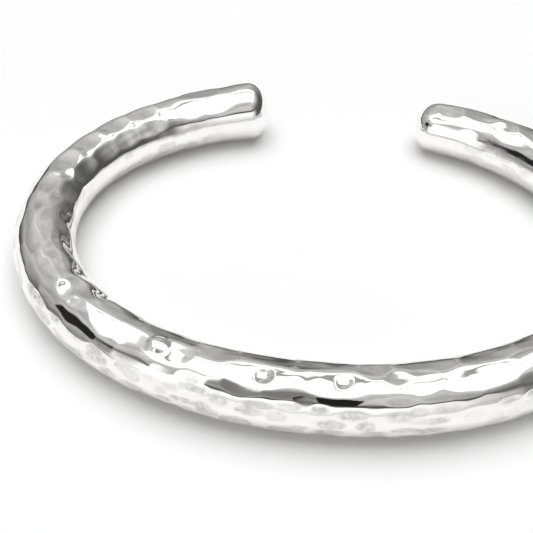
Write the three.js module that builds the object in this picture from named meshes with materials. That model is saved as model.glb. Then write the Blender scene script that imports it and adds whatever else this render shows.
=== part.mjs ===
// A hammered silver cuff: one solid round bar, bent to an open oval, with a domed end each side of the gap.
// Millimetres. The cuff lies on its side: +Z is up, the oval lies in X and Y, and the gap opens towards +Y.
import * as THREE from 'three';

// The oval and the bar
const INNER_WIDTH = 60.0; // clear width for the wrist, along X
const INNER_DEPTH = 44.2; // clear depth for the wrist, along Y
const BAR_DIAMETER = 7.2; // the bar before it is hammered, where the table of girths has 1
const GAP_WIDTH = 20.6; // between the middles of the two tips, along X
const DOME_LENGTH = 2.9; // how far each end rounds off along the bar
const OVAL_FULLNESS = 2.07; // exponent of the oval: 2 is an ellipse, and more is squarer
const DOME_FULLNESS = 2.15; // exponent of the ends' outline: 2 is an ellipse, and more is flatter

// The hammer's marks
const STRIKE_LENGTH = 6.0; // of one mark, along the bar
const STRIKE_WIDTH = 3.5; // of one mark, round the bar
const STRIKE_DEPTH = 0.2; // at the middle of one mark
const STRIKE_PITCH = 5.2; // between marks along a row
const ROW_PITCH = 2.4; // between rows, measured round the bar
const FIRST_ROW = 10; // degrees above the outmost line at which the first row lies
const RIDGE_SOFTNESS = 0.035; // how much polishing rounds the ridges between marks
const PLAIN_END = 5.0; // length of each end that the hammer leaves alone
const TRUED_DEPTH = 0.2; // taken off underneath, where the cuff was trued flat on a block

// How the marks wander from an even pattern, as shares of the sizes above
const WANDER_ALONG = 0.34; // of the pitch along a row
const WANDER_ROUND = 0.34; // of the pitch between rows
const SIZE_SPREAD = 0.3; // of a mark's length and width
const DEPTH_SPREAD = 0.5; // of a mark's depth
const COVER_SHARE = 0.85; // of a hand-placed mark's half sizes, within which it replaces the pattern's marks
const PLAIN_SIDE = 34; // degrees each side of the inmost line that stay smooth against the wrist
const TRUED_SIDE = 20; // degrees each side of the lowest line where marks are faint
const FAINT = 0.25; // depth of a mark there, as a share
const TOP_FROM = 50; // degrees round the bar at which the marks start to deepen towards the top
const TOP_TO = 85; // degrees at which they reach their full depth
const OUTSIDE = 0.35; // depth of a mark below that, as a share
const FADE = 0.4; // share of each plain stretch, either way, over which the marks set in

// Sampling of the solid
const SECTION_STEP = 0.82; // between sections, along the bar
const SIDES = 28; // sides of a section
const DOME_SECTIONS = 5; // sections of each domed end
const CURVE_SAMPLES = 4000; // of the centreline, for its length
const ROW_NUMBERS = 101; // numbers set aside for the marks of one row, more than a row holds

const BAR_RADIUS = BAR_DIAMETER / 2;
const HALF_WIDTH = INNER_WIDTH / 2 + BAR_RADIUS;
const HALF_DEPTH = INNER_DEPTH / 2 + BAR_RADIUS;
const DEGREE = Math.PI / 180;

// How thick the bar is: along is a share of half the bar's length, minus to the left of the middle, and thick
// is a share of the bar's diameter. The rows run from the left tip to the right one.
const GIRTHS = [
  { along: -1.0, thick: 1.12 },
  { along: -0.88, thick: 1.06 },
  { along: -0.72, thick: 1.02 },
  { along: -0.55, thick: 1.02 },
  { along: -0.4, thick: 1.0 },
  { along: -0.2, thick: 1.02 },
  { along: 0.0, thick: 1.04 },
  { along: 0.4, thick: 1.05 },
  { along: 0.75, thick: 1.08 },
  { along: 0.9, thick: 1.0 },
  { along: 1.0, thick: 0.94 },
];

// Marks that stand out, placed by hand, from the left tip to the right one. along is a share of half the
// bar's length, minus to the left of the middle, and round is in degrees: 0 is the outside of the cuff and 90
// its top. The rest are shares of a plain mark's sizes.
const CHOSEN_MARKS = [
  { along: -0.87, round: 118, length: 1.3, width: 1.2, depth: 1.2 },
  { along: -0.815, round: 112, length: 0.5, width: 0.5, depth: 0.9 },
  { along: -0.79, round: 91, length: 0.9, width: 0.95, depth: 1.9 },
  { along: -0.785, round: 135, length: 1.15, width: 0.8, depth: 1.35 },
  { along: -0.765, round: 113, length: 0.4, width: 0.45, depth: 0.8 },
  { along: -0.735, round: 89, length: 0.95, width: 0.95, depth: 1.9 },
  { along: -0.735, round: 135, length: 1.1, width: 0.8, depth: 1.35 },
  { along: -0.715, round: 112, length: 0.36, width: 0.42, depth: 0.75 },
  { along: -0.685, round: 135, length: 1.1, width: 0.8, depth: 1.35 },
  { along: -0.68, round: 91, length: 1.0, width: 0.95, depth: 1.9 },
  { along: -0.66, round: 113, length: 0.45, width: 0.4, depth: 0.7 },
  { along: -0.63, round: 135, length: 1.1, width: 0.8, depth: 1.35 },
  { along: -0.625, round: 89, length: 1.0, width: 0.9, depth: 1.75 },
  { along: -0.595, round: 112, length: 0.5, width: 0.55, depth: 1.1 },
  { along: -0.57, round: 133, length: 1.0, width: 0.8, depth: 1.3 },
  { along: -0.57, round: 90, length: 0.9, width: 0.8, depth: 1.4 },
  { along: -0.54, round: 114, length: 0.6, width: 0.6, depth: 0.9 },
  { along: -0.53, round: 84, length: 0.8, width: 0.7, depth: 0.9 },
  { along: -0.525, round: 100, length: 0.5, width: 0.55, depth: 0.6 },
  { along: -0.515, round: 140, length: 1.2, width: 0.8, depth: 1.2 },
  { along: -0.477, round: 100, length: 1.15, width: 0.68, depth: 1.0 },
  { along: -0.455, round: 134, length: 1.35, width: 0.85, depth: 1.4 },
  { along: -0.45, round: 77, length: 0.85, width: 0.7, depth: 0.9 },
  { along: -0.44, round: 117, length: 0.8, width: 0.6, depth: 1.0 },
  { along: -0.417, round: 96, length: 0.62, width: 0.6, depth: 0.8 },
  { along: -0.39, round: 79, length: 0.75, width: 0.68, depth: 0.7 },
  { along: -0.384, round: 100, length: 0.55, width: 0.58, depth: 0.5 },
  { along: -0.375, round: 116, length: 0.7, width: 0.6, depth: 1.0 },
  { along: -0.37, round: 132, length: 1.0, width: 0.8, depth: 1.3 },
  { along: -0.336, round: 84, length: 0.55, width: 0.74, depth: 1.4 },
  { along: -0.31, round: 122, length: 0.9, width: 0.85, depth: 1.4 },
  { along: -0.31, round: 73, length: 0.5, width: 0.6, depth: 0.9 },
  { along: -0.25, round: 110, length: 1.7, width: 0.9, depth: 1.5 },
  { along: -0.235, round: 76, length: 1.5, width: 1.05, depth: 1.8 },
  { along: -0.175, round: 112, length: 1.8, width: 0.85, depth: 1.5 },
  { along: -0.163, round: 84, length: 0.95, width: 1.1, depth: 2.1 },
  { along: -0.11, round: 107, length: 1.3, width: 0.95, depth: 1.7 },
  { along: -0.06, round: 80, length: 1.3, width: 1.1, depth: 2.0 },
  { along: -0.05, round: 111, length: 1.8, width: 0.85, depth: 1.5 },
  { along: 0.02, round: 110, length: 1.8, width: 0.85, depth: 1.6 },
  { along: 0.03, round: 82, length: 1.25, width: 1.15, depth: 2.2 },
  { along: 0.075, round: 106, length: 0.9, width: 0.9, depth: 1.8 },
  { along: 0.105, round: 88, length: 0.7, width: 0.9, depth: 1.9 },
  { along: 0.14, round: 109, length: 1.6, width: 0.9, depth: 1.6 },
  { along: 0.20, round: 78, length: 1.5, width: 1.05, depth: 1.9 },
  { along: 0.22, round: 110, length: 1.7, width: 0.9, depth: 1.6 },
  { along: 0.29, round: 110, length: 1.6, width: 0.9, depth: 1.5 },
  { along: 0.30, round: 84, length: 1.2, width: 1.0, depth: 1.7 },
  { along: 0.36, round: 110, length: 1.4, width: 0.9, depth: 1.5 },
  { along: 0.385, round: 84, length: 1.1, width: 1.0, depth: 1.6 },
  { along: 0.85, round: 100, length: 0.8, width: 0.9, depth: 1.5 },
  { along: 0.90, round: 84, length: 1.0, width: 1.0, depth: 1.5 },
  { along: 0.965, round: 96, length: 1.3, width: 1.5, depth: 2.4 },
];

/** A repeatable number from 0 to 1 for mark number i and quantity k. */
function chance(i, k) {
  const value = Math.sin(i * 12.9898 + k * 78.233) * 43758.5453;
  return value - Math.floor(value);
}

/** The same, from -1 to 1. */
function wander(i, k) {
  return 2 * chance(i, k) - 1;
}

/** The oval's point in the direction of an angle, in radians. */
function ovalPoint(angle) {
  const x = Math.abs(Math.cos(angle)) / HALF_WIDTH;
  const y = Math.abs(Math.sin(angle)) / HALF_DEPTH;
  const reach = Math.pow(Math.pow(x, OVAL_FULLNESS) + Math.pow(y, OVAL_FULLNESS), -1 / OVAL_FULLNESS);
  return new THREE.Vector2(reach * Math.cos(angle), reach * Math.sin(angle));
}

/** The angle at which the right-hand tip lies, half the gap from the middle line. */
function tipAngle() {
  const x = GAP_WIDTH / 2;
  const y = HALF_DEPTH * Math.pow(1 - Math.pow(x / HALF_WIDTH, OVAL_FULLNESS), 1 / OVAL_FULLNESS);
  return Math.atan2(y, x);
}

/** The centreline from the left tip, through the front, to the right tip, by distance from the middle. */
class Centreline {
  constructor() {
    const right = tipAngle();
    const sweep = Math.PI + 2 * right;
    this.points = [];
    this.lengths = [0];
    for (let i = 0; i <= CURVE_SAMPLES; i += 1) {
      this.points.push(ovalPoint(Math.PI - right + (sweep * i) / CURVE_SAMPLES));
      if (i > 0) this.lengths.push(this.lengths[i - 1] + this.points[i].distanceTo(this.points[i - 1]));
    }
    this.half = this.lengths[CURVE_SAMPLES] / 2;
  }

  /** The point and the outward direction at a distance from the middle. */
  at(along) {
    const target = THREE.MathUtils.clamp(along + this.half, 0, 2 * this.half);
    let low = 0;
    let high = CURVE_SAMPLES;
    while (high - low > 1) {
      const middle = (low + high) >> 1;
      if (this.lengths[middle] <= target) low = middle;
      else high = middle;
    }
    const share = (target - this.lengths[low]) / (this.lengths[high] - this.lengths[low]);
    const point = this.points[low].clone().lerp(this.points[high], share);
    const tangent = this.points[high].clone().sub(this.points[low]).normalize();
    return { point, outward: new THREE.Vector2(tangent.y, -tangent.x) };
  }
}

/** Degrees from one angle round the bar to another, from -180 to 180. */
function turnBetween(from, to) {
  return THREE.MathUtils.euclideanModulo(to - from + 180, 360) - 180;
}

/** From 0 inside a plain stretch to 1 outside it, for a distance from its middle and the stretch's reach. */
function setIn(distance, reach) {
  return THREE.MathUtils.smoothstep(distance, reach * (1 - FADE), reach * (1 + FADE));
}

/** How deep the hammer went at a place, as a share: most on top, none on the inside and at the ends. */
function force(along, round, half) {
  const end = setIn(half - Math.abs(along), PLAIN_END);
  const inside = setIn(180 - Math.abs(round), PLAIN_SIDE);
  const underneath = THREE.MathUtils.lerp(FAINT, 1, setIn(Math.abs(turnBetween(-90, round)), TRUED_SIDE));
  const top = THREE.MathUtils.lerp(OUTSIDE, 1, THREE.MathUtils.smoothstep(round, TOP_FROM, TOP_TO));
  return end * inside * underneath * top;
}

/** The marks placed by hand, at their real sizes. */
function chosenMarks(half) {
  return CHOSEN_MARKS.map((mark) => ({
    along: mark.along * half,
    round: mark.round,
    halfLength: (mark.length * STRIKE_LENGTH) / 2,
    halfWidth: (mark.width * STRIKE_WIDTH) / 2,
    depth: mark.depth * STRIKE_DEPTH,
  }));
}

/** The even pattern of marks, in rows round the bar, each wandering a little from its place. */
function patternMarks(half, chosen) {
  const marks = [];
  const rows = Math.round((2 * Math.PI * BAR_RADIUS) / ROW_PITCH);
  const columns = Math.ceil((2 * half) / STRIKE_PITCH);
  for (let row = 0; row < rows; row += 1) {
    for (let column = 0; column <= columns; column += 1) {
      const i = row * ROW_NUMBERS + column;
      const shift = row % 2 === 0 ? 0 : 0.5;
      const along = -half + (column + shift + WANDER_ALONG * wander(i, 1)) * STRIKE_PITCH;
      const round = turnBetween(0, FIRST_ROW + ((row + WANDER_ROUND * wander(i, 2)) * 360) / rows);
      const mark = {
        along,
        round,
        halfLength: (STRIKE_LENGTH / 2) * (1 + SIZE_SPREAD * wander(i, 3)),
        halfWidth: (STRIKE_WIDTH / 2) * (1 + SIZE_SPREAD * wander(i, 4)),
        depth: STRIKE_DEPTH * (1 + DEPTH_SPREAD * wander(i, 5)) * force(along, round, half),
      };
      if (mark.depth > 0 && !chosen.some((other) => covers(other, mark))) marks.push(mark);
    }
  }
  return marks;
}

/** Whether a mark placed by hand takes the place of one of the pattern's. */
function covers(chosen, mark) {
  const x = (mark.along - chosen.along) / chosen.halfLength;
  const y = (turnBetween(chosen.round, mark.round) * DEGREE * BAR_RADIUS) / chosen.halfWidth;
  return x * x + y * y < COVER_SHARE * COVER_SHARE;
}

/** How far the hammered surface lies inside the plain bar at a place, with rounded ridges between marks. */
function hammeredDepth(marks, along, round) {
  let sum = 0;
  for (const mark of marks) {
    const x = (along - mark.along) / mark.halfLength;
    const y = (turnBetween(mark.round, round) * DEGREE * BAR_RADIUS) / mark.halfWidth;
    sum += Math.exp((mark.depth * (1 - x * x - y * y)) / RIDGE_SOFTNESS);
  }
  return RIDGE_SOFTNESS * Math.log1p(sum);
}

/** The bar's radius before it is hammered, at a share of half its length, eased from row to row. */
function plainRadius(share) {
  let thick = GIRTHS[0].thick;
  for (let i = 1; i < GIRTHS.length; i += 1) {
    const before = GIRTHS[i - 1];
    const after = GIRTHS[i];
    thick += (after.thick - before.thick) * THREE.MathUtils.smoothstep(share, before.along, after.along);
  }
  return BAR_RADIUS * thick;
}

/** How far the dome has opened at a distance from the nearer tip: 0 at the tip, and 1 past the dome. */
function domeShare(fromTip) {
  const share = 1 - Math.min(fromTip, DOME_LENGTH) / DOME_LENGTH;
  return Math.pow(1 - Math.pow(share, DOME_FULLNESS), 1 / DOME_FULLNESS);
}

/** Where the sections stand, from one tip to the other: close together in the domes, even between them. */
function sectionPlaces(half) {
  const dome = [];
  for (let i = 1; i < DOME_SECTIONS; i += 1) {
    dome.push(DOME_LENGTH * (1 - Math.cos(((i / DOME_SECTIONS) * Math.PI) / 2)));
  }
  const straight = 2 * (half - DOME_LENGTH);
  const steps = Math.ceil(straight / SECTION_STEP);
  const places = dome.map((d) => d - half);
  for (let i = 0; i <= steps; i += 1) places.push(-half + DOME_LENGTH + (straight * i) / steps);
  return places.concat(dome.map((d) => half - d).reverse());
}

/** The points of the surface, section by section, and last the two tips. The underside lies in one plane. */
function surfacePoints(line, places) {
  const chosen = chosenMarks(line.half);
  const marks = chosen.concat(patternMarks(line.half, chosen));
  const points = [];
  const place = (at, out, up) => {
    const x = at.point.x + at.outward.x * out;
    const y = at.point.y + at.outward.y * out;
    points.push(x, y, Math.max(up, TRUED_DEPTH - BAR_RADIUS));
  };
  for (const along of places) {
    const at = line.at(along);
    const radius = plainRadius(along / line.half);
    const dome = domeShare(line.half - Math.abs(along));
    for (let side = 0; side < SIDES; side += 1) {
      const round = turnBetween(0, ((side + 0.5) * 360) / SIDES - 90);
      const reach = dome * (radius - hammeredDepth(marks, along, round));
      place(at, reach * Math.cos(round * DEGREE), radius - BAR_RADIUS + reach * Math.sin(round * DEGREE));
    }
  }
  for (const share of [-1, 1]) place(line.at(share * line.half), 0, plainRadius(share) - BAR_RADIUS);
  return points;
}

/** The triangles between the sections, and the fans that close the two tips. */
function surfaceTriangles(sections) {
  const triangles = [];
  const last = (sections - 1) * SIDES;
  const leftTip = sections * SIDES;
  const rightTip = leftTip + 1;
  for (let side = 0; side < SIDES; side += 1) {
    const next = (side + 1) % SIDES;
    for (let row = 0; row < last; row += SIDES) {
      triangles.push(row + side, row + SIDES + next, row + next);
      triangles.push(row + side, row + SIDES + side, row + SIDES + next);
    }
    triangles.push(leftTip, side, next);
    triangles.push(rightTip, last + next, last + side);
  }
  return triangles;
}

/** The hammered bar as one closed skin. */
function barGeometry() {
  const line = new Centreline();
  const places = sectionPlaces(line.half);
  const geometry = new THREE.BufferGeometry();
  geometry.setAttribute('position', new THREE.Float32BufferAttribute(surfacePoints(line, places), 3));
  geometry.setIndex(surfaceTriangles(places.length));
  return geometry;
}

/** Puts the origin in the middle of the footprint, on the surface that the cuff lies on. */
function standOnSurface(geometry) {
  geometry.computeBoundingBox();
  const middle = geometry.boundingBox.getCenter(new THREE.Vector3());
  return geometry.translate(-middle.x, -middle.y, -geometry.boundingBox.min.z);
}

const silver = new THREE.MeshStandardMaterial({ color: 0xe9e7e4, metalness: 1, roughness: 0.06 });
const cuff = new THREE.Mesh(standOnSurface(barGeometry()), silver);
cuff.name = 'cuff';
cuff.geometry.computeVertexNormals();

const bracelet = new THREE.Group();
bracelet.add(cuff);

export default bracelet;
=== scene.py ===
"""A hammered silver cuff bracelet lying on its side, on a pale table in soft studio light.

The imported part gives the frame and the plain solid. This script builds the same bar from the same driving
sizes on a much finer grid, with the small marks and facets that only the polished surface shows, and dresses
it as mirror polished silver.
"""

import logging
import math
from collections.abc import Sequence
from dataclasses import dataclass
from enum import Enum

import bpy
import numpy as np
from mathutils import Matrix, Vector


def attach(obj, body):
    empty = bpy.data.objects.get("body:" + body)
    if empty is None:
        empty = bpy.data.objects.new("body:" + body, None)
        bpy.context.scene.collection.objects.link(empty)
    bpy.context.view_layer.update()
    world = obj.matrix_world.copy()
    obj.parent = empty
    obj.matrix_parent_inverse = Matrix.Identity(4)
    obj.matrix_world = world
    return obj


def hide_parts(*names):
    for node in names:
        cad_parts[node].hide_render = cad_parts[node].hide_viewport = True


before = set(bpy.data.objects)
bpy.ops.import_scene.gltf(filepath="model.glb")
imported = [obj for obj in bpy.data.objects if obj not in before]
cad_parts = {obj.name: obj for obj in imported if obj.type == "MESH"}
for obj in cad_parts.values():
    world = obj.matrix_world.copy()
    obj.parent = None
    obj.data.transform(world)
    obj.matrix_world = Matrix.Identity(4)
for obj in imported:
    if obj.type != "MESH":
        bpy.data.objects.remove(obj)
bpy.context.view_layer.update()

log = logging.getLogger("cuff")

Source = bpy.types.Node | bpy.types.NodeSocket

MM = 0.001

# The inputs of a mix node that take its two numbers or its two colours, and its output for a colour
FIRST, SECOND = 2, 3
FIRST_COLOUR, SECOND_COLOUR = 6, 7
MIXED_COLOUR = 2

# The sine's steps from one mark to the next and from one quantity to the next, and how far it is blown up
CHANCE_BY_NUMBER = 12.9898
CHANCE_BY_QUANTITY = 78.233
CHANCE_SPREAD = 43758.5453


# Small helpers

def linear(colour: str) -> tuple[float, float, float, float]:
    """Turns an sRGB hex colour to linear light.

    Args:
        colour: six hex digits, such as "e9e7e4".

    Returns:
        Red, green, blue and an alpha of 1.
    """
    shares = [int(colour[i:i + 2], 16) / 255 for i in (0, 2, 4)]
    light = [s / 12.92 if s <= 0.04045 else ((s + 0.055) / 1.055) ** 2.4 for s in shares]
    return light[0], light[1], light[2], 1.0


def add_node(tree: bpy.types.NodeTree, kind: str, links: dict | None = None,
             **settings: object) -> bpy.types.Node:
    """Adds one node with its settings and the links into it.

    Args:
        tree: the node tree that gets the node.
        kind: the node's type name, such as "ShaderNodeMath".
        links: what feeds each input, by the input's name or number. It is a node, for its first output, or
            another of its outputs, or a fixed value.
        settings: properties of the node itself.

    Returns:
        The new node.
    """
    node = tree.nodes.new(kind)
    for name, value in settings.items():
        setattr(node, name, value)
    for where, source in (links or {}).items():
        if isinstance(source, bpy.types.Node):
            source = source.outputs[0]
        if isinstance(source, bpy.types.NodeSocket):
            tree.links.new(source, node.inputs[where])
        else:
            node.inputs[where].default_value = source
    return node


def empty_material(name: str) -> bpy.types.Material:
    """Makes a material that has a node tree with no nodes yet.

    Args:
        name: the material's name.

    Returns:
        The new material.
    """
    material = bpy.data.materials.new(name)
    material.use_nodes = True
    material.node_tree.nodes.clear()
    return material


def add_object(name: str, data: bpy.types.ID) -> bpy.types.Object:
    """Puts a mesh or a camera in the scene, as an object of its own.

    Args:
        name: the object's name.
        data: the mesh or the camera.

    Returns:
        The new object.
    """
    thing = bpy.data.objects.new(name, data)
    bpy.context.scene.collection.objects.link(thing)
    return thing


def smoothstep(value: np.ndarray, low: float, high: float) -> np.ndarray:
    """Rises smoothly from 0 at low to 1 at high.

    Args:
        value: where to read it.
        low: where the rise starts.
        high: where it ends.

    Returns:
        The share at each value.
    """
    share = np.clip((value - low) / (high - low), 0, 1)
    return share * share * (3 - 2 * share)


def turn_between(start: float | np.ndarray, end: np.ndarray) -> np.ndarray:
    """Degrees from one angle round the bar to another, from -180 to 180."""
    return (end - start + 180) % 360 - 180


def chance(number: np.ndarray, quantity: int) -> np.ndarray:
    """A repeatable number from 0 to 1 for each mark's number and one quantity."""
    value = np.sin(number * CHANCE_BY_NUMBER + quantity * CHANCE_BY_QUANTITY) * CHANCE_SPREAD
    return value - np.floor(value)


def wander(number: np.ndarray, quantity: int) -> np.ndarray:
    """The same, from -1 to 1."""
    return 2 * chance(number, quantity) - 1


# Finishes

@dataclass(frozen=True)
class Patches:
    """Uneven patches with a real width. On the silver they set where the hollows are rougher and painted a
    darker grey, which is painted shade.

    Attributes:
        width_mm: how wide a patch is.
        low: the noise up to which a patch keeps its least share.
        high: the noise from which it shows in full.
        least: its least share.
        detail: how many finer layers break it up.
        roughness: how much each finer layer counts.
    """

    width_mm: float
    low: float
    high: float
    least: float
    detail: float = 2.0
    roughness: float = 0.5

    def share(self, tree: bpy.types.NodeTree, place: Source) -> Source:
        """Adds the nodes for the patches.

        Args:
            tree: the material's node tree.
            place: the place on the object, in metres.

        Returns:
            How much of a patch shows, from its least share to 1.
        """
        noise = add_node(tree, "ShaderNodeTexNoise", {
            "Vector": place, "Scale": 1 / (self.width_mm * MM), "Detail": self.detail,
            "Roughness": self.roughness,
        })
        return add_node(tree, "ShaderNodeMapRange", {
            "Value": noise, "From Min": self.low, "From Max": self.high, "To Min": self.least,
        })


@dataclass(frozen=True)
class PolishedSilver:
    """Sterling silver, hammered and then polished on a soft wheel to a mirror.

    Silver reflects nearly all light with a faint warm cast, so the eye sees the room bent by each mark. The
    wheel reaches the hollows less, which leaves patches of them rougher, and it rubs the ridges between the
    marks to soft light lines. Those patches are also painted a darker grey: painted shade that stands in for
    the shade the hollows would mirror.

    Attributes:
        satin_shade_patches: the patches of the hollows that are rougher and painted darker as painted shade.
        satin_shade_grain: the fine breakup within those patches. A real matt finish is a few hundredths of a
            millimetre wide, too fine to show, so it is drawn as coarse as it needs to be.
        ripple_mm: how wide the polish's faint waves are.
        hollow: the mesh attribute that says how rough a hollow is and how much painted shade darkens it.
        ridge: the mesh attribute that says how near a ridge lies.
    """

    name: str = "polished sterling silver"
    bright: str = "f9f8f6"
    painted_shade: str = "c2c1bf"
    roughness: float = 0.02
    satin_roughness: float = 0.3
    ridge_roughness: float = 0.38
    satin_shade_patches: Patches = Patches(width_mm=4.5, low=0.36, high=0.56, least=0.2)
    satin_shade_grain: Patches = Patches(width_mm=0.45, low=0.35, high=0.65, least=0.4, detail=3.0, roughness=0.7)
    ripple_mm: float = 0.9
    ripple_detail: float = 2.0
    ripple_height_mm: float = 0.0022
    hollow: str = "hollow"
    ridge: str = "ridge"

    def material(self) -> bpy.types.Material:
        """Builds the node material.

        Returns:
            The material, ready to be put on the bar.
        """
        material = empty_material(self.name)
        tree = material.node_tree
        place = add_node(tree, "ShaderNodeTexCoord").outputs["Object"]
        hollow = add_node(tree, "ShaderNodeAttribute", attribute_name=self.hollow).outputs["Fac"]
        ridge = add_node(tree, "ShaderNodeAttribute", attribute_name=self.ridge).outputs["Fac"]
        patches = add_node(tree, "ShaderNodeMath", {
            0: self.satin_shade_patches.share(tree, place), 1: self.satin_shade_grain.share(tree, place),
        }, operation="MULTIPLY")
        # In the hollows' patches this share raises the roughness and also darkens the colour to a grey:
        # painted shade.
        satin_and_shade = add_node(tree, "ShaderNodeMath", {0: patches, 1: hollow}, operation="MULTIPLY")
        colour = add_node(tree, "ShaderNodeMix", {
            "Factor": satin_and_shade, FIRST_COLOUR: linear(self.bright), SECOND_COLOUR: linear(self.painted_shade),
        }, data_type="RGBA").outputs[MIXED_COLOUR]
        polish = add_node(tree, "ShaderNodeMix", {
            "Factor": satin_and_shade, FIRST: self.roughness, SECOND: self.satin_roughness,
        })
        roughness = add_node(tree, "ShaderNodeMix", {
            "Factor": ridge, FIRST: polish, SECOND: self.ridge_roughness,
        })
        ripple = add_node(tree, "ShaderNodeTexNoise", {
            "Vector": place, "Scale": 1 / (self.ripple_mm * MM), "Detail": self.ripple_detail,
        })
        bump = add_node(tree, "ShaderNodeBump", {
            "Height": ripple, "Distance": self.ripple_height_mm * MM, "Strength": 1.0,
        })
        shader = add_node(tree, "ShaderNodeBsdfPrincipled", {
            "Base Color": colour, "Metallic": 1.0, "Roughness": roughness, "Normal": bump,
        })
        add_node(tree, "ShaderNodeOutputMaterial", {"Surface": shader})
        return material


@dataclass(frozen=True)
class MattLaminate:
    """White melamine laminate, pressed matt.

    It gives the eye an even pale surface that keeps a soft shadow and no reflection.

    Attributes:
        mottle_mm: how wide the pale and the shaded patches of the sheet are.
    """

    name: str = "matt white laminate"
    pale: str = "f5f5f5"
    shade: str = "f3f3f3"
    roughness: float = 0.85
    specular: float = 0.2
    mottle_mm: float = 40.0

    def material(self) -> bpy.types.Material:
        """Builds the node material.

        Returns:
            The material, ready to be put on the table.
        """
        material = empty_material(self.name)
        tree = material.node_tree
        place = add_node(tree, "ShaderNodeTexCoord").outputs["Object"]
        mottle = add_node(tree, "ShaderNodeTexNoise", {"Vector": place, "Scale": 1 / (self.mottle_mm * MM)})
        colour = add_node(tree, "ShaderNodeMix", {
            "Factor": mottle, FIRST_COLOUR: linear(self.pale), SECOND_COLOUR: linear(self.shade),
        }, data_type="RGBA").outputs[MIXED_COLOUR]
        shader = add_node(tree, "ShaderNodeBsdfPrincipled", {
            "Base Color": colour, "Roughness": self.roughness, "Specular IOR Level": self.specular,
        })
        add_node(tree, "ShaderNodeOutputMaterial", {"Surface": shader})
        return material


# The bar and its marks

@dataclass(frozen=True)
class Oval:
    """The bar's middle line: an open oval, in millimetres, seen from above with its gap towards +Y."""

    inner_width: float = 60.0
    inner_depth: float = 44.2
    bar_diameter: float = 7.2
    gap_width: float = 20.6
    fullness: float = 2.07
    samples: int = 4000

    @property
    def bar_radius(self) -> float:
        """The bar's radius before it is hammered."""
        return self.bar_diameter / 2

    @property
    def half_width(self) -> float:
        """Half the oval's width at the middle line."""
        return self.inner_width / 2 + self.bar_radius

    @property
    def half_depth(self) -> float:
        """Half the oval's depth at the middle line."""
        return self.inner_depth / 2 + self.bar_radius

    def tip_angle(self) -> float:
        """Works out where the right-hand tip lies, half the gap to the right of the oval's middle.

        Returns:
            Its angle from +X, in radians.
        """
        x = self.gap_width / 2
        y = self.half_depth * (1 - (x / self.half_width) ** self.fullness) ** (1 / self.fullness)
        return math.atan2(y, x)

    def line(self) -> tuple[np.ndarray, np.ndarray]:
        """Samples the middle line from the left tip, through the front, to the right tip.

        Returns:
            The points, and each one's distance along the line from the front middle.
        """
        right = self.tip_angle()
        angle = math.pi - right + (math.pi + 2 * right) * np.arange(self.samples + 1) / self.samples
        x = np.abs(np.cos(angle)) / self.half_width
        y = np.abs(np.sin(angle)) / self.half_depth
        reach = (x ** self.fullness + y ** self.fullness) ** (-1 / self.fullness)
        points = np.stack([reach * np.cos(angle), reach * np.sin(angle)], axis=1)
        lengths = np.concatenate([[0], np.cumsum(np.linalg.norm(np.diff(points, axis=0), axis=1))])
        return points, lengths - lengths[-1] / 2


@dataclass(frozen=True)
class Girth:
    """How thick the bar is at one place.

    Attributes:
        along: the place, as a share of half the bar from the front middle, negative towards the left tip.
        thick: the thickness there, as a share of the bar's diameter.
    """

    along: float
    thick: float


@dataclass(frozen=True)
class Mark:
    """One listed mark of the hammer.

    Attributes:
        along: its middle, as a share of half the bar from the front middle.
        round: its middle in degrees round the bar: 0 outside, 90 on top and 180 inside.
        length: its length, as a share of a plain mark's.
        width: its width, as a share of a plain mark's.
        depth: its depth, as a share of a plain mark's.
    """

    along: float
    round: float
    length: float
    width: float
    depth: float


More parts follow.
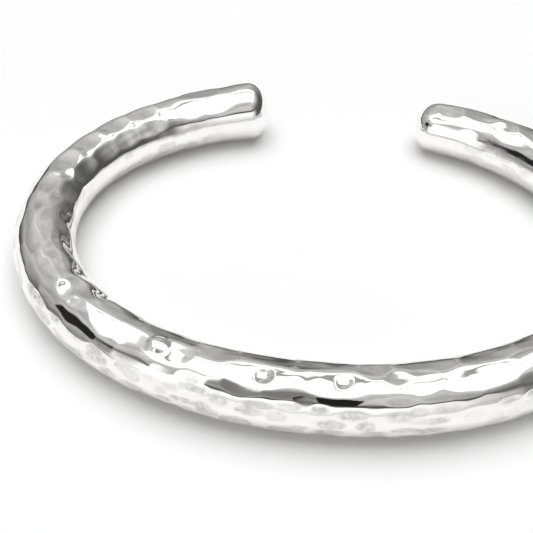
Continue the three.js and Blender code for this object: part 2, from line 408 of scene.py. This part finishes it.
@dataclass(frozen=True)
class Hammering:
    """Rows of shallow oval marks round the bar that wander from an even pattern, in millimetres and degrees.

    Attributes:
        strike_length: a plain mark's length, along the bar.
        strike_width: its width, round the bar.
        strike_depth: its depth.
        strike_pitch: from one mark of a row to the next.
        row_pitch: from one row to the next, round the bar.
        first_row: from the outside of the bar to the first row, in degrees.
        ridge_softness: how much the ridges between marks are rounded.
        ridge_line: how wide a band of depths counts as near a ridge.
        ridge_from: how far up a mark's side, from its bottom to its rim, the ridge starts to show.
        ridge_full: how far up it shows in full.
        top_from: where, going up the outside, the marks' depth begins to change.
        top_to: where it has become that on top.
        outside: their depth outside and below, as a share of that on top.
        plain_end: how much of each end is left plain.
        plain_side: how much of the inside is left plain, either way from its middle.
        trued_side: how much of the underside is faint, either way from its middle.
        faint: the marks' depth on the underside, as a share.
        fade: how far the plain stretches fade, as a share of them.
        wander_along: how far a mark wanders along its row, as a share of the pitch.
        wander_round: how far it wanders across it.
        size_spread: how much the marks' sizes differ.
        depth_spread: how much their depths differ.
        cover_share: how near a listed mark removes one of the pattern, as a share of its size.
        row_numbers: how far apart the chance numbers of two rows lie.
        first_number: the chance number that the pattern starts from.
        chosen: the listed marks.
        patterned: whether there are any rows beside them.
    """

    strike_length: float = 6.0
    strike_width: float = 3.5
    strike_depth: float = 0.2
    strike_pitch: float = 5.2
    row_pitch: float = 2.4
    first_row: float = 10.0
    ridge_softness: float = 0.035
    ridge_line: float = 0.18
    ridge_from: float = 0.2
    ridge_full: float = 0.5
    top_from: float = 50.0
    top_to: float = 85.0
    outside: float = 0.35
    plain_end: float = 5.0
    plain_side: float = 34.0
    trued_side: float = 20.0
    faint: float = 0.25
    fade: float = 0.4
    wander_along: float = 0.34
    wander_round: float = 0.34
    size_spread: float = 0.3
    depth_spread: float = 0.5
    cover_share: float = 0.85
    row_numbers: int = 101
    first_number: int = 0
    chosen: tuple[Mark, ...] = ()
    patterned: bool = True

    def set_in(self, distance: np.ndarray, reach: float) -> np.ndarray:
        """From 0 inside a plain stretch to 1 outside it."""
        return smoothstep(distance, reach * (1 - self.fade), reach * (1 + self.fade))

    def force(self, along: np.ndarray, around: np.ndarray, half: float) -> np.ndarray:
        """How deep the hammer went, as a share: none on the inside and at the ends, faint underneath.

        Args:
            along: distance from the front middle.
            around: degrees round the bar.
            half: half the bar's length.

        Returns:
            The share for each mark.
        """
        end = self.set_in(half - np.abs(along), self.plain_end)
        inside = self.set_in(180 - np.abs(around), self.plain_side)
        underneath = self.set_in(np.abs(turn_between(-90, around)), self.trued_side)
        top = self.outside + (1 - self.outside) * smoothstep(around, self.top_from, self.top_to)
        return end * inside * top * (self.faint + (1 - self.faint) * underneath)

    def by_hand(self, half: float) -> np.ndarray:
        """The listed marks.

        Args:
            half: half the bar's length.

        Returns:
            One row a mark: along, round, half length, half width and depth.
        """
        return np.array([
            [m.along * half, m.round, m.length * self.strike_length / 2, m.width * self.strike_width / 2,
             m.depth * self.strike_depth] for m in self.chosen
        ]).reshape(-1, 5)

    def pattern(self, half: float, radius: float) -> np.ndarray:
        """Places the rows of marks, each row half a pitch off its neighbours.

        Args:
            half: half the bar's length.
            radius: the bar's radius.

        Returns:
            One row a mark: along, round, half length, half width and depth.
        """
        rows = round(2 * math.pi * radius / self.row_pitch)
        columns = math.ceil(2 * half / self.strike_pitch)
        grid = np.meshgrid(np.arange(rows), np.arange(columns + 1), indexing="ij")
        row, column = grid[0].ravel(), grid[1].ravel()
        number = row * self.row_numbers + column + self.first_number
        shift = (row % 2) / 2
        along = -half + (column + shift + self.wander_along * wander(number, 1)) * self.strike_pitch
        turn = self.first_row + (row + self.wander_round * wander(number, 2)) * 360 / rows
        around = turn_between(0, turn)
        half_length = self.strike_length / 2 * (1 + self.size_spread * wander(number, 3))
        half_width = self.strike_width / 2 * (1 + self.size_spread * wander(number, 4))
        depth = self.strike_depth * (1 + self.depth_spread * wander(number, 5))
        depth *= self.force(along, around, half)
        return np.stack([along, around, half_length, half_width, depth], axis=1)

    def marks(self, half: float, radius: float) -> np.ndarray:
        """All the marks: the listed ones, and those of the pattern that they leave room for.

        Args:
            half: half the bar's length.
            radius: the bar's radius.

        Returns:
            One row a mark: along, round, half length, half width and depth.
        """
        by_hand = self.by_hand(half)
        if not self.patterned:
            return by_hand
        pattern = self.pattern(half, radius)
        along, around, depth = pattern[:, 0], pattern[:, 1], pattern[:, 4]
        kept = depth > 0
        for middle, turn, half_length, half_width, _ in by_hand:
            x = (along - middle) / half_length
            y = np.radians(turn_between(turn, around)) * radius / half_width
            kept &= x * x + y * y >= self.cover_share ** 2
        return np.concatenate([by_hand, pattern[kept]])

    def depth(self, along: np.ndarray, around: np.ndarray, half: float,
              radius: float) -> tuple[np.ndarray, np.ndarray]:
        """How far the hammered surface lies inside the plain bar, with the ridges between marks rounded.

        Args:
            along: distances of the sections from the front middle.
            around: degrees of the points round each section.
            half: half the bar's length.
            radius: the bar's radius.

        Returns:
            A depth for each section and point, and how near each lies to a ridge, from 0 to 1.
        """
        total = np.zeros((len(along), len(around)))
        deepest = np.zeros_like(total)
        second = np.zeros_like(total)
        full = np.ones_like(total)
        for middle, turn, half_length, half_width, deep in self.marks(half, radius):
            x = (along - middle) / half_length
            y = np.radians(turn_between(turn, around)) * radius / half_width
            cut = deep * (1 - (x * x)[:, None] - (y * y)[None, :])
            total += np.exp(cut / self.ridge_softness)
            second = np.maximum(second, np.minimum(deepest, cut))
            full = np.where(cut > deepest, deep, full)
            deepest = np.maximum(deepest, cut)
        steep = smoothstep(1 - deepest / full, self.ridge_from, self.ridge_full)
        ridge = steep * np.exp((second - deepest) / self.ridge_line) * smoothstep(second, 0, self.ridge_line)
        return self.ridge_softness * np.log1p(total), ridge


# How thick the bar is along its length

GIRTHS = (
    Girth(-1.0, 1.12),
    Girth(-0.88, 1.06),
    Girth(-0.72, 1.02),
    Girth(-0.55, 1.02),
    Girth(-0.4, 1.0),
    Girth(-0.2, 1.02),
    Girth(0.0, 1.04),
    Girth(0.4, 1.05),
    Girth(0.75, 1.08),
    Girth(0.9, 1.0),
    Girth(1.0, 0.94),
)

# The hammer's marks. Those that stand out are listed from the left tip to the right one

STRIKES = Hammering(chosen=(
    Mark(-0.87, 118, 1.3, 1.2, 1.2),
    Mark(-0.815, 112, 0.5, 0.5, 0.9),
    Mark(-0.79, 91, 0.9, 0.95, 1.9),
    Mark(-0.785, 135, 1.15, 0.8, 1.35),
    Mark(-0.765, 113, 0.4, 0.45, 0.8),
    Mark(-0.735, 89, 0.95, 0.95, 1.9),
    Mark(-0.735, 135, 1.1, 0.8, 1.35),
    Mark(-0.715, 112, 0.36, 0.42, 0.75),
    Mark(-0.685, 135, 1.1, 0.8, 1.35),
    Mark(-0.68, 91, 1.0, 0.95, 1.9),
    Mark(-0.66, 113, 0.45, 0.4, 0.7),
    Mark(-0.63, 135, 1.1, 0.8, 1.35),
    Mark(-0.625, 89, 1.0, 0.9, 1.75),
    Mark(-0.595, 112, 0.5, 0.55, 1.1),
    Mark(-0.57, 133, 1.0, 0.8, 1.3),
    Mark(-0.57, 90, 0.9, 0.8, 1.4),
    Mark(-0.54, 114, 0.6, 0.6, 0.9),
    Mark(-0.53, 84, 0.8, 0.7, 0.9),
    Mark(-0.525, 100, 0.5, 0.55, 0.6),
    Mark(-0.515, 140, 1.2, 0.8, 1.2),
    Mark(-0.477, 100, 1.15, 0.68, 1.0),
    Mark(-0.455, 134, 1.35, 0.85, 1.4),
    Mark(-0.45, 77, 0.85, 0.7, 0.9),
    Mark(-0.44, 117, 0.8, 0.6, 1.0),
    Mark(-0.417, 96, 0.62, 0.6, 0.8),
    Mark(-0.39, 79, 0.75, 0.68, 0.7),
    Mark(-0.384, 100, 0.55, 0.58, 0.5),
    Mark(-0.375, 116, 0.7, 0.6, 1.0),
    Mark(-0.37, 132, 1.0, 0.8, 1.3),
    Mark(-0.336, 84, 0.55, 0.74, 1.4),
    Mark(-0.31, 122, 0.9, 0.85, 1.4),
    Mark(-0.31, 73, 0.5, 0.6, 0.9),
    Mark(-0.25, 110, 1.7, 0.9, 1.5),
    Mark(-0.235, 76, 1.5, 1.05, 1.8),
    Mark(-0.175, 112, 1.8, 0.85, 1.5),
    Mark(-0.163, 84, 0.95, 1.1, 2.1),
    Mark(-0.11, 107, 1.3, 0.95, 1.7),
    Mark(-0.06, 80, 1.3, 1.1, 2.0),
    Mark(-0.05, 111, 1.8, 0.85, 1.5),
    Mark(0.02, 110, 1.8, 0.85, 1.6),
    Mark(0.03, 82, 1.25, 1.15, 2.2),
    Mark(0.075, 106, 0.9, 0.9, 1.8),
    Mark(0.105, 88, 0.7, 0.9, 1.9),
    Mark(0.14, 109, 1.6, 0.9, 1.6),
    Mark(0.20, 78, 1.5, 1.05, 1.9),
    Mark(0.22, 110, 1.7, 0.9, 1.6),
    Mark(0.29, 110, 1.6, 0.9, 1.5),
    Mark(0.30, 84, 1.2, 1.0, 1.7),
    Mark(0.36, 110, 1.4, 0.9, 1.5),
    Mark(0.385, 84, 1.1, 1.0, 1.6),
    Mark(0.85, 100, 0.8, 0.9, 1.5),
    Mark(0.90, 84, 1.0, 1.0, 1.5),
    Mark(0.965, 96, 1.3, 1.5, 2.4),
))

# Two small round dents on the front, and one raised round spot beside them

POCKS = Hammering(
    strike_length=2.4, strike_width=2.2, strike_depth=0.28, ridge_softness=0.008, patterned=False,
    chosen=(Mark(-0.05, 78, 0.85, 0.9, 1.2), Mark(0.041, 80, 0.75, 0.75, 0.85)),
)

BLISTERS = Hammering(
    strike_length=2.4, strike_width=2.2, strike_depth=0.28, ridge_softness=0.02, patterned=False,
    chosen=(Mark(-0.181, 83, 1.05, 1.0, 1.35),),
)

# The fine facets all round, deepest outside and below, and the long streaks on the inner side of the top

FACETS = Hammering(
    strike_length=3.4, strike_width=1.5, strike_depth=0.018, strike_pitch=2.9, row_pitch=1.2,
    ridge_softness=0.003, plain_end=7.0, plain_side=3.0, faint=0.5, outside=2.6, row_numbers=203,
    first_number=5001,
)

STREAKS = Hammering(
    strike_length=10.0, strike_width=1.2, strike_depth=0.02, strike_pitch=6.0, row_pitch=0.8,
    ridge_softness=0.003, top_from=80.0, top_to=100.0, outside=0.0, plain_side=24.0, row_numbers=307,
    first_number=9001,
)


@dataclass
class Cuff:
    """The hammered bar with its two domed ends: one piece of silver. Lengths are in millimetres.

    Attributes:
        dome_fullness: how square the domes are, with 2 for an ellipse.
        trued_depth: how much was trued off the underside.
        satin_shade_reach: how far the rougher hollows, painted darker as painted shade, reach from the
            middle of the outside or the inside, in degrees.
        satin_shade_fade: how far they fade there, either way.
        satin_shade_from: how deep in a facet the roughness and the painted shade start, as a share of the
            facet's depth.
        satin_shade_full: how deep they are full.
        satin_shade_inside: how strong they are on the inside, as a share of that outside.
        section_step: from one section of the bar to the next.
        dome_sections: how many steps each dome takes.
        sides: how many points each section has.
        body: the body that the bar rides on.
        node: the CAD node that it takes the place of.
        slot: its material slot's name; not used.
        oval_middle_mm: where the oval's middle lies once the bar is built.
    """

    oval: Oval = Oval()
    girths: Sequence[Girth] = GIRTHS
    strikes: Hammering = STRIKES
    pocks: Hammering = POCKS
    blisters: Hammering = BLISTERS
    facets: Hammering = FACETS
    streaks: Hammering = STREAKS
    finish: PolishedSilver = PolishedSilver()
    dome_length: float = 2.9
    dome_fullness: float = 2.15
    trued_depth: float = 0.2
    satin_shade_reach: float = 45.0
    satin_shade_fade: float = 12.0
    satin_shade_from: float = 0.35
    satin_shade_full: float = 0.7
    satin_shade_inside: float = 0.5
    section_step: float = 0.17
    dome_sections: int = 14
    sides: int = 96
    body: str = "root"
    node: str = "cuff"
    slot: str = "silver"
    oval_middle_mm: tuple[float, float] = (0.0, 0.0)

    def dome(self, from_tip: np.ndarray) -> np.ndarray:
        """How far the dome has opened at a distance from the nearer tip: 0 at the tip, 1 past the dome."""
        share = 1 - np.minimum(from_tip, self.dome_length) / self.dome_length
        return (1 - share ** self.dome_fullness) ** (1 / self.dome_fullness)

    def thickness(self, along: np.ndarray) -> np.ndarray:
        """How thick the bar is, eased from one row of the table to the next.

        Args:
            along: places as shares of half the bar.

        Returns:
            The radius at each place.
        """
        thick = np.full(len(along), self.girths[0].thick)
        for before, after in zip(self.girths, self.girths[1:]):
            thick += (after.thick - before.thick) * smoothstep(along, before.along, after.along)
        return self.oval.bar_radius * thick

    def section_places(self, half: float) -> np.ndarray:
        """Where the sections stand: close together in the domes, even between them.

        Args:
            half: half the bar's length.

        Returns:
            Distances from the front middle, from the left end to the right.
        """
        turn = np.arange(1, self.dome_sections) / self.dome_sections * math.pi / 2
        dome = self.dome_length * (1 - np.cos(turn))
        straight = half - self.dome_length
        steps = math.ceil(2 * straight / self.section_step)
        between = np.linspace(-straight, straight, steps + 1)
        return np.concatenate([dome - half, between, (half - dome)[::-1]])

    def dullness_and_shade(self, fine: np.ndarray, around: np.ndarray) -> np.ndarray:
        """How rough the wheel left the fine facets' hollows, and how much painted shade darkens them:
        outside, and more faintly inside.

        Args:
            fine: how deep the facets are at each section and point.
            around: degrees of the points round each section.

        Returns:
            From 0 where the bar is fully bright to 1 deep in a rough hollow with its full painted shade.
        """
        near, far = self.satin_shade_reach - self.satin_shade_fade, self.satin_shade_reach + self.satin_shade_fade
        outside = 1 - smoothstep(np.abs(around), near, far)
        inside = 1 - smoothstep(180 - np.abs(around), near, far)
        shallow = self.facets.strike_depth
        deep = shallow * self.facets.outside
        # This share roughens the facets' hollows and darkens their colour: painted shade.
        dull_shaded_outside = smoothstep(fine / deep, self.satin_shade_from, self.satin_shade_full) * outside
        dull_shaded_inside = smoothstep(fine / shallow, self.satin_shade_from, self.satin_shade_full) * inside
        return dull_shaded_outside + dull_shaded_inside * self.satin_shade_inside

    def surface(self, places: np.ndarray, around: np.ndarray) -> tuple[np.ndarray, np.ndarray, np.ndarray]:
        """The hammered surface, with its underside trued flat.

        Args:
            places: distances of the sections from the front middle.
            around: degrees of the points round each section.

        Returns:
            The points in millimetres, and from 0 to 1 how rough and how darkened by painted shade each
            point's hollow is, and how near a ridge.
        """
        points, lengths = self.oval.line()
        half, radius = lengths[-1], self.oval.bar_radius
        tangents = np.gradient(points, axis=0)
        tangents /= np.linalg.norm(tangents, axis=1)[:, None]
        struck, ridge = self.strikes.depth(places, around, half, radius)
        fine, streak, pock, blister = (
            group.depth(places, around, half, radius)[0]
            for group in (self.facets, self.streaks, self.pocks, self.blisters)
        )
        thick = self.thickness(places / half)[:, None]
        dome = self.dome(half - np.abs(places))[:, None]
        reach = dome * (thick - struck - fine - streak - pock + blister)
        out = reach * np.cos(np.radians(around))
        up = np.maximum(reach * np.sin(np.radians(around)) + thick - radius, self.trued_depth - radius)
        at_x, at_y = (np.interp(places, lengths, line)[:, None] for line in points.T)
        along_x, along_y = (np.interp(places, lengths, line)[:, None] for line in tangents.T)
        surface = np.stack([at_x + along_y * out, at_y - along_x * out, up], axis=2)
        return surface, self.dullness_and_shade(fine, around) * dome, ridge

    def skin(self) -> tuple[np.ndarray, np.ndarray, np.ndarray]:
        """The points of the bar's surface, section by section, and last the two tips.

        Returns:
            The points in millimetres, and how rough and how darkened by painted shade each point's hollow
            is, and how near a ridge.
        """
        points, lengths = self.oval.line()
        places = self.section_places(lengths[-1])
        around = turn_between(0, (np.arange(self.sides) + 0.5) * 360 / self.sides - 90)
        surface, hollow, ridge = self.surface(places, around)
        lift = self.thickness(np.array([-1.0, 1.0])) - self.oval.bar_radius
        tips = np.column_stack([points[[0, -1]], lift])
        skin = np.concatenate([surface.reshape(-1, 3), tips])
        return skin, np.append(hollow, (0, 0)), np.append(ridge, (0, 0))

    def faces(self, sections: int) -> list[tuple[int, ...]]:
        """The faces between the sections, and the fans that close the two tips.

        Args:
            sections: how many sections there are.

        Returns:
            The points of each face, in order, seen from outside.
        """
        faces = []
        last = (sections - 1) * self.sides
        left_tip = sections * self.sides
        right_tip = left_tip + 1
        for side in range(self.sides):
            after = (side + 1) % self.sides
            for row in range(0, last, self.sides):
                faces.append((row + side, row + self.sides + side, row + self.sides + after, row + after))
            faces.append((left_tip, side, after))
            faces.append((right_tip, last + after, last + side))
        return faces

    def build(self) -> bpy.types.Object:
        """Builds the bar, stood on the surface with its footprint's middle at the origin.

        Returns:
            The new object.
        """
        skin, hollow, ridge = self.skin()
        low, high = skin.min(axis=0), skin.max(axis=0)
        skin -= [(low[0] + high[0]) / 2, (low[1] + high[1]) / 2, low[2]]
        self.oval_middle_mm = (-(low[0] + high[0]) / 2, -(low[1] + high[1]) / 2)
        mesh = bpy.data.meshes.new("hammered_bar")
        mesh.from_pydata((skin * MM).tolist(), [], self.faces((len(skin) - 2) // self.sides))
        mesh.shade_smooth()
        for name, values in ((self.finish.hollow, hollow), (self.finish.ridge, ridge)):
            mesh.attributes.new(name, "FLOAT", "POINT").data.foreach_set("value", values)
        return add_object("hammered_bar", mesh)

    def dress(self, bar: bpy.types.Object) -> None:
        """Gives the bar its finish and its place in the frame.

        Args:
            bar: the object from build.
        """
        bar.data.materials.append(self.finish.material())
        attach(bar, self.body)
        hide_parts(self.node)


# The studio

class Edge(Enum):
    """The outline of a card: how its node joins the shares of its half width and half height."""

    SQUARE = "MAXIMUM"
    ROUND = "ADD"


@dataclass(frozen=True)
class Card:
    """A white, grey or black card hung round the table, in degrees as seen from the cuff.

    Attributes:
        azimuth: its middle. Azimuth 0 lies beyond the gap, 90 to the right and 180 on the near side.
        elevation: its middle, up from the table.
        half_width: half its width.
        half_height: half its height.
        light: how bright it is, with 1 for plain white.
        edge: how far its edge fades, as a share of its half width and half height.
        outline: its outline.
    """

    azimuth: float
    elevation: float
    half_width: float
    half_height: float
    light: float
    edge: float = 0.15
    outline: Edge = Edge.SQUARE


@dataclass(frozen=True)
class WallTone:
    """How light the walls are at one elevation, in degrees."""

    elevation: float
    light: float


@dataclass
class Studio:
    """The table, the soft light round it and the camera. The table's size is in metres.

    The light overhead lies in a level ceiling, a little off the middle, towards the gap. Its sizes are
    shares of the ceiling's height over the table.

    Attributes:
        walls: the walls' tone, from the table up.
        wall_mottle: how fine their unevenness is.
        wall_mottle_depth: how strong it is, as a share of their light.
        backdrop_light: the plain light that the camera sees behind the table.
        wall_spill: the share of the walls' light that falls on the table.
        panel_near: the overhead light's near edge.
        panel_far: its far edge, towards the gap.
        panel_seam: where the dark seam between its two tubes lies.
        seam_reach: how far the seam reaches, either way.
        lowest_rise: the least rise at which a direction is taken to meet the ceiling.
        softbox_light: the overhead light as the table gets it.
        softbox_glare: the overhead light as the silver mirrors it.
        camera_azimuth: how far right of the near side the camera stands, in degrees.
    """

    finish: MattLaminate = MattLaminate()
    table_size: float = 4.0
    walls: Sequence[WallTone] = (
        WallTone(0, 0.03),
        WallTone(4, 0.1),
        WallTone(10, 0.32),
        WallTone(18, 0.42),
        WallTone(40, 0.54),
        WallTone(60, 0.56),
    )
    wall_mottle: float = 3.6
    wall_mottle_detail: float = 3.0
    wall_mottle_depth: float = 0.8
    backdrop_light: float = 1.1
    cards: Sequence[Card] = (
        Card(180, 30, 60, 4, 0.07, 0.5),
        Card(180, 14, 56, 14, 1.1, 0.12),
        Card(180, 1, 56, 9, 0.78, 0.9),
        Card(-142, 30, 8, 34, 1.1, 0.3),
        Card(78, 12, 52, 27, 0.09, 0.6),
        Card(-165, 48, 15, 12, 0.2, 0.5),
        Card(175, 44, 9, 13, 0.015, 0.2, Edge.ROUND),
        Card(-103, 26, 12, 9, 0.02, 0.2),
    )
    wall_spill: float = 0.6
    panel_half_width: float = 0.62
    panel_near: float = -0.35
    panel_far: float = 0.84
    panel_edge: float = 0.03
    panel_seam: float = 0.46
    seam_half_width: float = 0.03
    seam_reach: float = 0.4
    seam_light: float = 0.35
    lowest_rise: float = 0.01
    softbox_light: float = 3.0
    softbox_glare: float = 1.2
    light_colour: str = "ffffff"
    camera_azimuth: float = 7.27
    camera_elevation: float = 42.34
    camera_distance_mm: float = 109.72
    camera_target_mm: tuple[float, float, float] = (-6.888, -3.455, 0.0)
    camera_lens: float = 62.13
    camera_sensor: float = 36.0
    camera_nearest: float = 0.001
    camera_farthest: float = 10.0

    def lay_table(self) -> bpy.types.Object:
        """Builds the pale table top that the cuff lies on.

        Returns:
            The table top.
        """
        half = self.table_size / 2
        corners = [(-half, -half, 0), (half, -half, 0), (half, half, 0), (-half, half, 0)]
        mesh = bpy.data.meshes.new("table_top")
        mesh.from_pydata(corners, [], [(0, 1, 2, 3)])
        mesh.materials.append(self.finish.material())
        table = add_object("table_top", mesh)
        return table

    def hang_card(self, tree: bpy.types.NodeTree, card: Card, azimuth: Source, elevation: Source,
                  behind: Source) -> Source:
        """Adds one card to the light that comes from round the table.

        Args:
            tree: the world's node tree.
            card: the card.
            azimuth: the direction's azimuth, in radians.
            elevation: its elevation, in radians.
            behind: the light from what hangs behind the card.

        Returns:
            The light with the card in front.
        """
        # The arccosine of the cosine takes the shorter way round, whichever side of 180 the card hangs on
        shares = []
        for angle, middle, half, steps in (
            (azimuth, card.azimuth, card.half_width, ("COSINE", "ARCCOSINE")),
            (elevation, card.elevation, card.half_height, ("ABSOLUTE",)),
        ):
            off = add_node(tree, "ShaderNodeMath", {0: angle, 1: math.radians(middle)}, operation="SUBTRACT")
            for step in steps:
                off = add_node(tree, "ShaderNodeMath", {0: off}, operation=step)
            share = add_node(tree, "ShaderNodeMath", {0: off, 1: math.radians(half)}, operation="DIVIDE")
            if card.outline is Edge.ROUND:
                share = add_node(tree, "ShaderNodeMath", {0: share, 1: share}, operation="MULTIPLY")
            shares.append(share)
        out = add_node(tree, "ShaderNodeMath", dict(enumerate(shares)), operation=card.outline.value)
        inside = add_node(tree, "ShaderNodeMapRange", {
            "Value": out, "From Min": 1 + card.edge, "From Max": 1 - card.edge,
        }, interpolation_type="SMOOTHSTEP")
        return add_node(tree, "ShaderNodeMix", {"Factor": inside, FIRST: behind, SECOND: card.light})

    def strip(self, tree: bpy.types.NodeTree, across: Source, middle: float, half: float,
              edge: float) -> Source:
        """A soft-edged strip of the ceiling.

        Args:
            tree: the world's node tree.
            across: where the direction meets the ceiling, as a share of the ceiling's height.
            middle: the strip's middle.
            half: half its width.
            edge: how far its edge fades, either way.

        Returns:
            1 inside the strip and 0 outside it.
        """
        off = add_node(tree, "ShaderNodeMath", {0: across, 1: middle}, operation="SUBTRACT")
        off = add_node(tree, "ShaderNodeMath", {0: off}, operation="ABSOLUTE")
        return add_node(tree, "ShaderNodeMapRange", {
            "Value": off, "From Min": half + edge, "From Max": half - edge,
        }, interpolation_type="SMOOTHSTEP")

    def light_walls(self, tree: bpy.types.NodeTree, towards: Source, elevation: Source) -> Source:
        """Lights the walls, darker near the table and a little uneven.

        Args:
            tree: the world's node tree.
            towards: the direction.
            elevation: its elevation, in radians.

        Returns:
            The walls' light.
        """
        rise = add_node(tree, "ShaderNodeMath", {0: elevation, 1: math.pi / 2}, operation="DIVIDE")
        ramp = add_node(tree, "ShaderNodeValToRGB", {"Fac": rise})
        stops = ramp.color_ramp.elements
        while len(stops) < len(self.walls):
            stops.new(1.0)
        for stop, tone in zip(stops, self.walls):
            stop.position = tone.elevation / 90
            stop.color = (tone.light, tone.light, tone.light, 1.0)
        mottle = add_node(tree, "ShaderNodeTexNoise", {
            "Vector": towards, "Scale": self.wall_mottle, "Detail": self.wall_mottle_detail,
        })
        uneven = add_node(tree, "ShaderNodeMapRange", {
            "Value": mottle, "To Min": 1 - self.wall_mottle_depth, "To Max": 1 + self.wall_mottle_depth,
        })
        return add_node(tree, "ShaderNodeMath", {0: ramp, 1: uneven}, operation="MULTIPLY")

    def light_ceiling(self, tree: bpy.types.NodeTree, x: Source, y: Source, z: Source,
                      mirrored: Source) -> tuple[Source, Source]:
        """Hangs the large soft light overhead, with the dark seam between its two tubes.

        Args:
            tree: the world's node tree.
            x: the direction's part to the right.
            y: its part towards the gap.
            z: its part upwards.
            mirrored: 1 for light that the silver mirrors, 0 for the rest.

        Returns:
            1 inside the light and 0 outside it, and how bright it is there.
        """
        height = add_node(tree, "ShaderNodeMath", {0: z, 1: self.lowest_rise}, operation="MAXIMUM")
        right = add_node(tree, "ShaderNodeMath", {0: x, 1: height}, operation="DIVIDE")
        ahead = add_node(tree, "ShaderNodeMath", {0: y, 1: height}, operation="DIVIDE")
        middle = (self.panel_near + self.panel_far) / 2
        depth = (self.panel_far - self.panel_near) / 2
        panel = add_node(tree, "ShaderNodeMath", {
            0: self.strip(tree, right, 0.0, self.panel_half_width, self.panel_edge),
            1: self.strip(tree, ahead, middle, depth, self.panel_edge),
        }, operation="MULTIPLY")
        seam = add_node(tree, "ShaderNodeMath", {
            0: self.strip(tree, ahead, self.panel_seam, self.seam_half_width, self.seam_half_width / 2),
            1: self.strip(tree, right, 0.0, self.seam_reach, self.panel_edge),
        }, operation="MULTIPLY")
        glow = add_node(tree, "ShaderNodeMix", {
            "Factor": mirrored, FIRST: self.softbox_light, SECOND: self.softbox_glare,
        })
        return panel, add_node(tree, "ShaderNodeMix", {"Factor": seam, FIRST: glow, SECOND: self.seam_light})

    def light_room(self) -> None:
        """Lights the table with one large soft light overhead, pale walls and a few cards."""
        world = bpy.data.worlds.new("studio")
        bpy.context.scene.world = world
        world.use_nodes = True
        tree = world.node_tree
        tree.nodes.clear()
        towards = add_node(tree, "ShaderNodeTexCoord").outputs["Generated"]
        x, y, z = add_node(tree, "ShaderNodeSeparateXYZ", {0: towards}).outputs
        azimuth = add_node(tree, "ShaderNodeMath", {0: x, 1: y}, operation="ARCTAN2")
        elevation = add_node(tree, "ShaderNodeMath", {0: z}, operation="ARCSINE")
        ray = add_node(tree, "ShaderNodeLightPath").outputs
        light = self.light_walls(tree, towards, elevation)
        for card in self.cards:
            light = self.hang_card(tree, card, azimuth, elevation, light)
        spill = add_node(tree, "ShaderNodeMix", {
            "Factor": ray["Is Diffuse Ray"], FIRST: 1.0, SECOND: self.wall_spill,
        })
        light = add_node(tree, "ShaderNodeMath", {0: light, 1: spill}, operation="MULTIPLY")
        panel, glow = self.light_ceiling(tree, x, y, z, ray["Is Glossy Ray"])
        light = add_node(tree, "ShaderNodeMix", {"Factor": panel, FIRST: light, SECOND: glow})
        light = add_node(tree, "ShaderNodeMix", {
            "Factor": ray["Is Camera Ray"], FIRST: light, SECOND: self.backdrop_light,
        })
        shader = add_node(tree, "ShaderNodeBackground", {
            "Color": linear(self.light_colour), "Strength": light,
        })
        add_node(tree, "ShaderNodeOutputWorld", {"Surface": shader})

    def set_camera(self, middle_mm: tuple[float, float]) -> None:
        """Puts the camera at the photograph's angle and distance.

        Args:
            middle_mm: where the middle of the cuff's oval lies, in millimetres.
        """
        turn, rise = math.radians(self.camera_azimuth), math.radians(self.camera_elevation)
        back = Vector((math.sin(turn) * math.cos(rise), -math.cos(turn) * math.cos(rise), math.sin(rise)))
        data = bpy.data.cameras.new("camera")
        data.sensor_width = self.camera_sensor
        data.lens = self.camera_lens
        data.clip_start = self.camera_nearest
        data.clip_end = self.camera_farthest
        camera = add_object("camera", data)
        target = Vector(self.camera_target_mm) + Vector((*middle_mm, 0.0))
        camera.location = (target + back * self.camera_distance_mm) * MM
        camera.rotation_mode = "QUATERNION"
        camera.rotation_quaternion = (-back).to_track_quat("-Z", "Y")
        bpy.context.scene.camera = camera

    def build(self, middle_mm: tuple[float, float]) -> None:
        """Sets up the table, the light and the camera.

        Args:
            middle_mm: where the middle of the cuff's oval lies, in millimetres.
        """
        self.lay_table()
        self.light_room()
        self.set_camera(middle_mm)
        bpy.context.scene.view_settings.view_transform = "Standard"


def main() -> None:
    """Builds the cuff and the studio, and logs the bar's points and faces and the studio's cards."""
    logging.basicConfig(level=logging.INFO, format="%(name)s: %(message)s")
    cuff = Cuff()
    bar = cuff.build()
    cuff.dress(bar)
    log.info("hammered bar: %d points, %d faces", len(bar.data.vertices), len(bar.data.polygons))
    studio = Studio()
    studio.build(cuff.oval_middle_mm)
    log.info("studio: a table, %d cards and a soft light", len(studio.cards))


if __name__ == "__main__":
    main()
